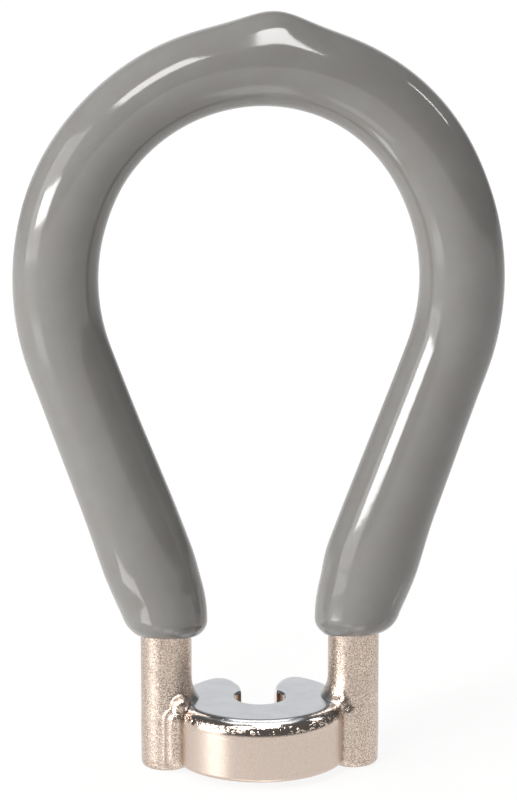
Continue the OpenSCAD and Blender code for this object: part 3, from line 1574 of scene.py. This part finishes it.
    def add_fillet(self, mesh: Mesh) -> None:
        """Spins the fillet's hollow section round the right leg, on the side of the head.

        Args:
            mesh: the mesh to add it to
        """
        leg, top = self.loop.leg_x, self.head.top
        wall = leg - self.loop.rod_r
        reach = math.atan2(self.valley.y, leg - self.valley.x)
        hollow_r = (self.fillet_w**2 + self.fillet_h**2) / (2 * self.fillet_w)
        climb = math.asin(self.fillet_h / hollow_r)
        hollow = Vector((wall - hollow_r, 0, top + self.fillet_h))
        pen = Pen(mesh, Vector((wall + self.fillet_root, 0, top - self.fillet_sink)))
        pen.move(Vector((-self.fillet_root - self.fillet_w, 0, 0)))
        pen.move(Vector((0, 0, self.fillet_sink)))
        pen.turn(hollow, Vector((0, 1, 0)), -climb / self.hollow_steps, self.hollow_steps)
        pen.move(Vector((self.fillet_root, 0, 0)))
        face = bmesh.ops.edgeloop_fill(mesh, edges=pen.close())["faces"][0]
        turn = Matrix.Rotation(-reach, 3, "Z")
        bmesh.ops.rotate(mesh, cent=(leg, 0, 0), matrix=turn, verts=pen.verts)
        bmesh.ops.spin(
            mesh,
            geom=[face, *face.verts, *face.edges],
            cent=(leg, 0, 0),
            axis=(0, 0, 1),
            angle=2 * reach,
            steps=self.fillet_steps,
        )

    def dress(self, piece: Piece, finish: Plating) -> None:
        """Gives the braze its plating and seats it."""
        seat(piece, f"{self.side.name.lower()}_braze", finish.material())


class Shine(Enum):
    """What a lamp does: it lights everything, shows in glossy surfaces only, or shows in none of them."""

    FULL = "full"
    GLINTS = "glints"
    MATT = "matt"


@dataclass(frozen=True)
class Softbox:
    """One rectangular lamp, placed by its direction from a point above the tool's foot.

    Attributes:
        name: name of the lamp
        azimuth: degrees to the right of the way from the tool to the front
        elevation: degrees above level
        distance: metres from the aim point
        width: width of the lamp's face
        height: height of the lamp's face
        radiance: brightness of the lamp's face
        aim: height of the point that it faces
        roll: turn of the face about its own axis, in degrees
        shine: what the lamp lights
    """

    name: str
    azimuth: float
    elevation: float
    distance: float
    width: float
    height: float
    radiance: float
    aim: float = 0.04
    roll: float = 0.0
    shine: Shine = Shine.FULL

    def build(self) -> Piece:
        """Makes the lamp and turns it to its aim point.

        Returns:
            The lamp.
        """
        data = bpy.data.lights.new(self.name, "AREA")
        data.shape = "RECTANGLE"
        data.size = self.width
        data.size_y = self.height
        data.energy = self.radiance * math.pi * self.width * self.height
        az, el = math.radians(self.azimuth), math.radians(self.elevation)
        towards = Vector((math.sin(az) * math.cos(el), -math.cos(az) * math.cos(el), math.sin(el)))
        lamp = bpy.data.objects.new(self.name, data)
        lamp.location = Vector((0, 0, self.aim)) + towards * self.distance
        turn = towards.to_track_quat("Z", "Y").to_matrix().to_4x4()
        lamp.rotation_euler = (turn @ Matrix.Rotation(math.radians(self.roll), 4, "Z")).to_euler()
        lamp.visible_camera = False
        lamp.visible_diffuse = self.shine is not Shine.GLINTS
        lamp.visible_glossy = self.shine is not Shine.MATT
        bpy.context.scene.collection.objects.link(lamp)
        return lamp

    def build_for(self, pieces: list[Piece]) -> None:
        """Makes the lamp and lets it reach some pieces only.

        Args:
            pieces: the pieces that it lights
        """
        reached = bpy.data.collections.new(f"{self.name}_pieces")
        for piece in pieces:
            reached.objects.link(piece)
        self.build().light_linking.receiver_collection = reached


@dataclass(frozen=True)
class Studio:
    """White floor, pale surroundings and soft lamps.

    Attributes:
        lamps: the lamps
        floor_half: half of the floor's side
        floor_colour: colour of the floor where it takes light and shadow
        floor_white: brightness of the floor as the camera and the plating see it
        glow_near: distance from the middle within which the floor shows most shadow
        glow_far: distance from which it shows none
        glow_share: share of the white that is left within glow_near
        back_near: distance behind the tool at which the floor starts to darken in reflections
        back_far: distance from which it is darkest there
        back_dim: share of the white that it loses there
        gloss: colour of the floor's own gloss in reflections
        gloss_roughness: roughness of that gloss
        room_colour: tint of the room
        room_dim: brightness of the room in front of and above the tool
        card: brightness of the pale card behind the tool
        card_range: how far a direction points backwards between the room and the card
    """

    lamps: tuple[Softbox, ...]
    floor_half: float = 3.0
    floor_colour: Colour = (0.86, 0.84, 0.82)
    floor_white: float = 1.03
    glow_near: float = 0.02
    glow_far: float = 0.14
    glow_share: float = 0.85
    back_near: float = 0.005
    back_far: float = 0.05
    back_dim: float = 0.65
    gloss: Colour = (0.12, 0.12, 0.12)
    gloss_roughness: float = 0.12
    room_colour: Colour = (0.98, 1.0, 1.03)
    room_dim: float = 0.14
    card: float = 1.0
    card_range: tuple[float, float] = (0.75, 0.97)

    def build(self) -> None:
        """Makes the floor, the surroundings and the lamps."""
        bpy.context.scene.view_settings.view_transform = "Standard"
        self.make_floor()
        self.make_world()
        for lamp in self.lamps:
            lamp.build()

    def make_floor(self) -> None:
        """Lays a white floor that keeps the tool's shadow."""
        mesh = bmesh.new()
        bmesh.ops.create_grid(mesh, x_segments=1, y_segments=1, size=self.floor_half)
        floor = finish_mesh(mesh, "floor")
        floor.data.materials.append(self.floor_material())

    def floor_material(self) -> bpy.types.Material:
        """Builds the floor's material, a shaded white with a little gloss in reflections.

        Returns:
            The new material.
        """
        made = bpy.data.materials.new("white_floor")
        made.use_nodes = True
        g = Graph(made.node_tree)
        path = g.add("ShaderNodeLightPath").outputs
        matt = g.shader("ShaderNodeBsdfDiffuse", self.floor_colour)
        white = g.shader("ShaderNodeEmission", WHITE, Strength=self.floor_white)
        paper = g.blend(self.white_share(g, path), matt, white)
        dull = g.shader("ShaderNodeBsdfDiffuse", BLACK)
        shine = g.shader("ShaderNodeBsdfGlossy", self.gloss, Roughness=self.gloss_roughness)
        both = g.add("ShaderNodeAddShader")
        g.link(paper, both.inputs[0])
        g.link(g.blend(path["Is Glossy Ray"], dull, shine), both.inputs[1])
        out = g.add("ShaderNodeOutputMaterial")
        g.link(both.outputs["Shader"], out.inputs["Surface"])
        return made

    def white_share(self, g: Graph, path: bpy.types.NodeOutputs) -> Socket:
        """Share of plain white in the floor, less under the tool and, in reflections, behind it.

        Args:
            g: the floor material's graph
            path: outputs of its light path node

        Returns:
            The share's socket.
        """
        seen = g.math("MAXIMUM", path["Is Camera Ray"], path["Is Glossy Ray"])
        seen = g.math("MAXIMUM", seen, path["Is Transmission Ray"])
        place = g.add("ShaderNodeTexCoord").outputs["Object"]
        from_middle = g.add("ShaderNodeVectorMath", operation="LENGTH")
        g.link(place, from_middle.inputs[0])
        glow = g.span(
            from_middle.outputs["Value"], self.glow_near, self.glow_far, self.glow_share, 1.0
        )
        back = g.span(g.split(place).outputs["Y"], self.back_near, self.back_far, 0.0, self.back_dim)
        kept = g.math("SUBTRACT", 1.0, g.math("MULTIPLY", back, path["Is Glossy Ray"]))
        return g.math("MULTIPLY", seen, g.math("MULTIPLY", glow, kept))

    def make_world(self) -> None:
        """Makes surroundings that are white behind the tool and dimmer in front of it."""
        world = bpy.data.worlds.new("studio")
        world.use_nodes = True
        bpy.context.scene.world = world
        g = Graph(world.node_tree)
        way = g.split(g.add("ShaderNodeTexCoord").outputs["Generated"])
        behind = g.span(way.outputs["Y"], *self.card_range)
        path = g.add("ShaderNodeLightPath").outputs
        seen = g.math("MAXIMUM", path["Is Glossy Ray"], path["Is Transmission Ray"])
        seen = g.math("MAXIMUM", g.math("MULTIPLY", seen, behind), path["Is Camera Ray"])
        room = g.shader("ShaderNodeBackground", self.room_colour, Strength=self.room_dim)
        card = g.shader("ShaderNodeBackground", WHITE, Strength=self.card)
        out = g.add("ShaderNodeOutputWorld")
        g.link(g.blend(seen, room, card), out.inputs["Surface"])


@dataclass(frozen=True)
class PortraitCamera:
    """Camera at the portrait's viewing angle.

    Attributes:
        eye: place of the lens
        yaw: degrees by which it looks to the right of +Y
        pitch: degrees by which it looks down
        focal_px: focal length in picture pixels
        sensor_mm: width of the sensor in millimetres
        near: distance from which it sees
    """

    eye: tuple[float, float, float] = (-15.41 * MM, -291.60 * MM, 100.30 * MM)
    yaw: float = 3.0
    pitch: float = 12.62
    focal_px: float = 3260.0
    sensor_mm: float = 36.0
    near: float = 0.01

    def build(self) -> None:
        """Makes the camera and hands it to the scene."""
        data = bpy.data.cameras.new("portrait")
        data.sensor_width = self.sensor_mm
        data.lens = self.focal_px / max(PICTURE_WIDTH_PX, PICTURE_HEIGHT_PX) * self.sensor_mm
        data.clip_start = self.near
        camera = bpy.data.objects.new("portrait", data)
        camera.location = self.eye
        camera.rotation_euler = (math.radians(90.0 - self.pitch), 0.0, -math.radians(self.yaw))
        bpy.context.scene.collection.objects.link(camera)
        bpy.context.scene.camera = camera


LAMPS = (
    Softbox(
        "left_strip", azimuth=-62.0, elevation=10.0, distance=0.42, width=0.19, height=0.075, radiance=17.0
    ),
    Softbox(
        "left_fill", azimuth=-72.0, elevation=14.0, distance=0.60, width=0.40, height=0.40, radiance=2.6
    ),
    Softbox(
        "upper_left",
        azimuth=-32.0,
        elevation=42.0,
        distance=0.45,
        width=0.12,
        height=0.17,
        radiance=13.0,
        roll=-35.0,
    ),
    Softbox(
        "right_back", azimuth=98.0, elevation=36.0, distance=0.45, width=0.03, height=0.12, radiance=12.0
    ),
    Softbox(
        "crown_light",
        azimuth=12.0,
        elevation=61.0,
        distance=0.45,
        width=0.16,
        height=0.24,
        radiance=14.0,
        shine=Shine.GLINTS,
    ),
    Softbox(
        "overhead",
        azimuth=180.0,
        elevation=78.0,
        distance=0.42,
        width=0.50,
        height=0.46,
        radiance=1.8,
        shine=Shine.MATT,
    ),
)
# A panel in front of the overhead lamp that only the plated pieces see
PLATING_PANEL = Softbox(
    "plating_panel",
    azimuth=180.0,
    elevation=78.0,
    distance=0.40,
    width=0.48,
    height=0.44,
    radiance=1.9,
    shine=Shine.GLINTS,
)
# A small strip that lies just over the floor and gives the streak on the sleeve's left foot
FOOT_STRIP = Softbox(
    "foot_strip",
    azimuth=-62.0,
    elevation=-85.8,
    distance=0.4984,
    width=0.016,
    height=0.010,
    radiance=4.2,
    aim=0.5,
    roll=-18.0,
    shine=Shine.GLINTS,
)
ROD_PLATING = Plating(
    "rod_nickel",
    colour=(0.72, 0.612, 0.527),
    dark=(0.385, 0.30, 0.243),
    roughness=0.27,
    pebbles=8000.0,
    depth=0.030 * MM,
)
GREY_VINYL = Vinyl(
    "grey_vinyl", colour=(0.222, 0.220, 0.208), warm=(0.214, 0.204, 0.194), roughness=0.10
)
# Radii of the hand-laid beads
BEADS = {Side.LEFT: 1.05 * MM, Side.RIGHT: 0.7 * MM}


def head_plating(head: WrenchHead) -> HeadPlating:
    """Fits the head's plating to the head.

    Args:
        head: the head

    Returns:
        Its plating.
    """
    return HeadPlating(
        "head_nickel",
        colour=(0.64, 0.54, 0.465),
        dark=(0.58, 0.48, 0.41),
        roughness=0.30,
        pebbles=8000.0,
        depth=0.006 * MM,
        top=head.top,
        rim_h=head.rim_h,
        radius=head.radius,
    )


def braze_plating(head: WrenchHead) -> BrazePlating:
    """Fits the braze's plating to the head.

    Args:
        head: the head that the braze holds

    Returns:
        The braze's plating.
    """
    return BrazePlating(
        "braze_nickel",
        colour=(0.745, 0.637, 0.55),
        dark=(0.405, 0.318, 0.26),
        roughness=0.26,
        pebbles=8000.0,
        depth=0.030 * MM,
        top=head.top,
        reach=6.6 * MM,
    )


def main() -> None:
    """Builds the camera, the studio and the pieces in order."""
    logging.basicConfig(level=logging.INFO, format="%(name)s: %(message)s")
    loop = Loop.from_frame()
    head = WrenchHead.from_frame()
    PortraitCamera().build()
    Studio(LAMPS).build()
    wire = HandleWire(loop)
    rod = wire.build()
    wire.dress(rod, ROD_PLATING)
    disc = head.build()
    head.dress(disc, head_plating(head))
    plated = [rod, disc]
    for side, bead_r in BEADS.items():
        joint = BrazeJoint(side, loop, head, bead_r)
        metal = joint.build()
        joint.dress(metal, braze_plating(head))
        plated.append(metal)
    PLATING_PANEL.build_for(plated)
    sleeve = VinylSleeve(loop)
    coat = sleeve.build()
    sleeve.dress(coat, GREY_VINYL)
    FOOT_STRIP.build_for([coat])


if __name__ == "__main__":
    main()
